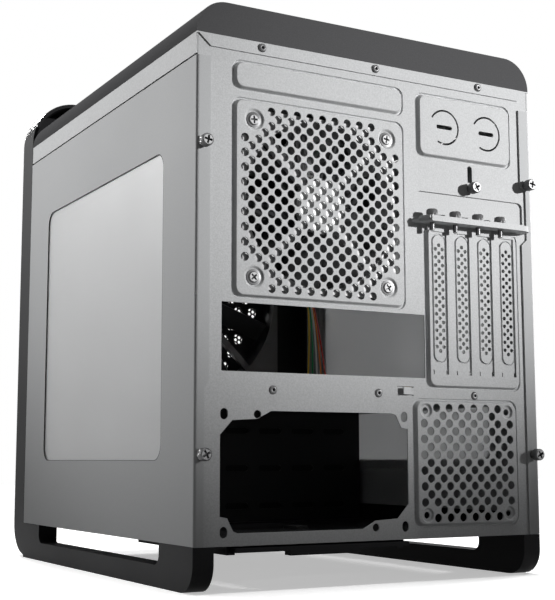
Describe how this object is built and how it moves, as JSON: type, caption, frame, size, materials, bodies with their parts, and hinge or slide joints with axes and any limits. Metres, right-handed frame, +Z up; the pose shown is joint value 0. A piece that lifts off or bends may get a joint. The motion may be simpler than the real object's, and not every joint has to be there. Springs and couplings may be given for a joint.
{
  "type": "small tower computer case",
  "caption": "Small upright computer case with a level board tray, perforated rear sheet, windowed side panels, arched plastic front, plastic feet and two fans.",
  "frame": {"origin": "under the middle of the case's bounding box, on the surface that it stands on", "axes": "+Z up, +Y towards the rear, +X to the left of someone who looks at the rear"},
  "size_m": [0.277, 0.3874, 0.4046],
  "materials": {
    "panel_steel": "fine-textured powder coat, satin",
    "black_plastic": "fine matt",
    "grey_plastic": "satin",
    "fan_plastic": "satin",
    "silvered_acrylic": "silvered, satin",
    "screw_steel": "nickel plated",
    "brass": "machined",
    "rubber": "matt",
    "net": "fine net",
    "grille_steel": "satin powder coat",
    "board": "lacquered",
    "red_lead": "satin",
    "orange_lead": "satin",
    "white_lead": "satin",
    "green_lead": "satin",
    "yellow_lead": "satin"
  },
  "bodies": {
    "case": {"chassis_base": "panel_steel", "chassis_front": "panel_steel", "chassis_top": "panel_steel", "motherboard_tray": "panel_steel", "drive_cage": "panel_steel", "drive_tray_1": "black_plastic", "drive_tray_2": "black_plastic", "drive_tray_3": "black_plastic", "rear_panel": "panel_steel", "slot_cover_1": "panel_steel", "slot_cover_2": "panel_steel", "slot_cover_3": "panel_steel", "slot_cover_4": "panel_steel", "slot_thumbscrews": "screw_steel", "rivets": "screw_steel", "standoffs": "brass", "psu_pads": "rubber", "foot_left": "black_plastic", "foot_right": "black_plastic", "foot_screws": "screw_steel", "psu_filter_rails": "black_plastic", "top_cover": "grey_plastic", "front_bezel": "black_plastic", "front_grille": "grille_steel", "usb_sockets": "screw_steel", "audio_sockets": "black_plastic", "front_board": "board", "button_switches": "black_plastic", "rear_fan_frame": "fan_plastic", "rear_fan_screws": "screw_steel", "front_fan_frame": "fan_plastic", "front_fan_screws": "screw_steel", "lead_plugs": "black_plastic", "lead_red": "red_lead", "lead_orange": "orange_lead", "lead_white": "white_lead", "lead_green": "green_lead", "lead_yellow": "yellow_lead"},
    "left_panel": {"side_panel_left": "panel_steel", "window_left": "silvered_acrylic", "panel_thumbscrews_left": "screw_steel"},
    "right_panel": {"side_panel_right": "panel_steel", "window_right": "silvered_acrylic", "panel_thumbscrews_right": "screw_steel"},
    "slot_hatch": {"slot_plate": "panel_steel", "plate_thumbscrew": "screw_steel"},
    "psu_filter": {"psu_filter_frame": "black_plastic", "psu_filter_net": "net"},
    "power_button": {"power_button": "black_plastic"},
    "reset_button": {"reset_button": "black_plastic"},
    "rear_rotor": {"rear_fan_rotor": "black_plastic"},
    "front_rotor": {"front_fan_rotor": "black_plastic"}
  },
  "joints": [
    {"name": "left_panel_slide", "type": "slide", "parent": "case", "child": "left_panel", "axis": [0, 1, 0], "range_m": [0, 0.015]},
    {"name": "right_panel_slide", "type": "slide", "parent": "case", "child": "right_panel", "axis": [0, 1, 0], "range_m": [0, 0.015]},
    {"name": "slot_hatch_slide", "type": "slide", "parent": "case", "child": "slot_hatch", "axis": [0, 0, 1], "range_m": [0, 0.012]},
    {"name": "psu_filter_slide", "type": "slide", "parent": "case", "child": "psu_filter", "axis": [0, 1, 0], "range_m": [0, 0.15]},
    {"name": "power_press", "type": "slide", "parent": "case", "child": "power_button", "axis": [0, 1, 0], "range_m": [0, 0.002], "stiffness_N_per_m": 500},
    {"name": "reset_press", "type": "slide", "parent": "case", "child": "reset_button", "axis": [0, 1, 0], "range_m": [0, 0.001], "stiffness_N_per_m": 500},
    {"name": "rear_fan_spin", "type": "hinge", "parent": "case", "child": "rear_rotor", "pos_m": [0.0443, 0.16835, 0.2523], "axis": [0, 1, 0], "continuous": true},
    {"name": "front_fan_spin", "type": "hinge", "parent": "case", "child": "front_rotor", "pos_m": [0, -0.14975, 0.2356], "axis": [0, 1, 0], "continuous": true}
  ]
}
